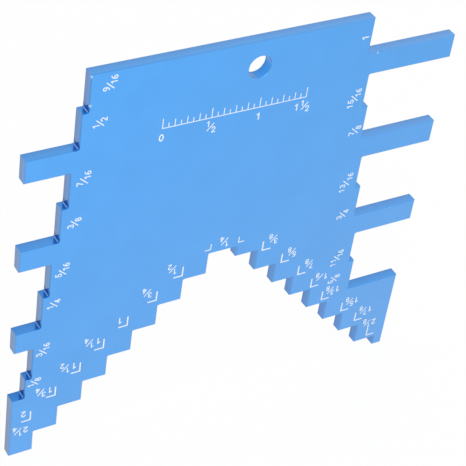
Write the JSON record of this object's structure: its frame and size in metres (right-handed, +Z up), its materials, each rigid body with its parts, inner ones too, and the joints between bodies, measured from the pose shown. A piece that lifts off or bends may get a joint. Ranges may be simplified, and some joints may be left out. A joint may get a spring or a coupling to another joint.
{
  "type": "table saw height gauge",
  "caption": "Flat anodised plate with two feet, a stepped arch that reads the height of a saw blade in eighths of an inch, and stepped notches down both sides.",
  "frame": {"origin": "on the table that the feet stand on, under the middle of the plate, half way through its thickness", "axes": "+Z up from the feet to the hanging hole; +X along the width, to the right of someone who reads the marked face; the marked face looks towards -Y"},
  "size_m": [0.1128, 0.003, 0.1114],
  "materials": {
    "anodised_aluminium": "light blue anodising, satin on both faces, fine milling lines on the cut walls",
    "white_fill": "matte white paint filled into shallow grooves"
  },
  "bodies": {
    "root": {"gauge_plate": "anodised_aluminium", "left_mark_02_eighths": "white_fill", "left_mark_04_eighths": "white_fill", "left_mark_06_eighths": "white_fill", "left_mark_08_eighths": "white_fill", "left_mark_10_eighths": "white_fill", "left_mark_12_eighths": "white_fill", "left_mark_14_eighths": "white_fill", "left_mark_16_eighths": "white_fill", "right_mark_02_eighths": "white_fill", "right_mark_03_eighths": "white_fill", "right_mark_05_eighths": "white_fill", "right_mark_07_eighths": "white_fill", "right_mark_09_eighths": "white_fill", "right_mark_11_eighths": "white_fill", "right_mark_13_eighths": "white_fill", "right_mark_15_eighths": "white_fill", "right_mark_17_eighths": "white_fill"}
  },
  "joints": []
}
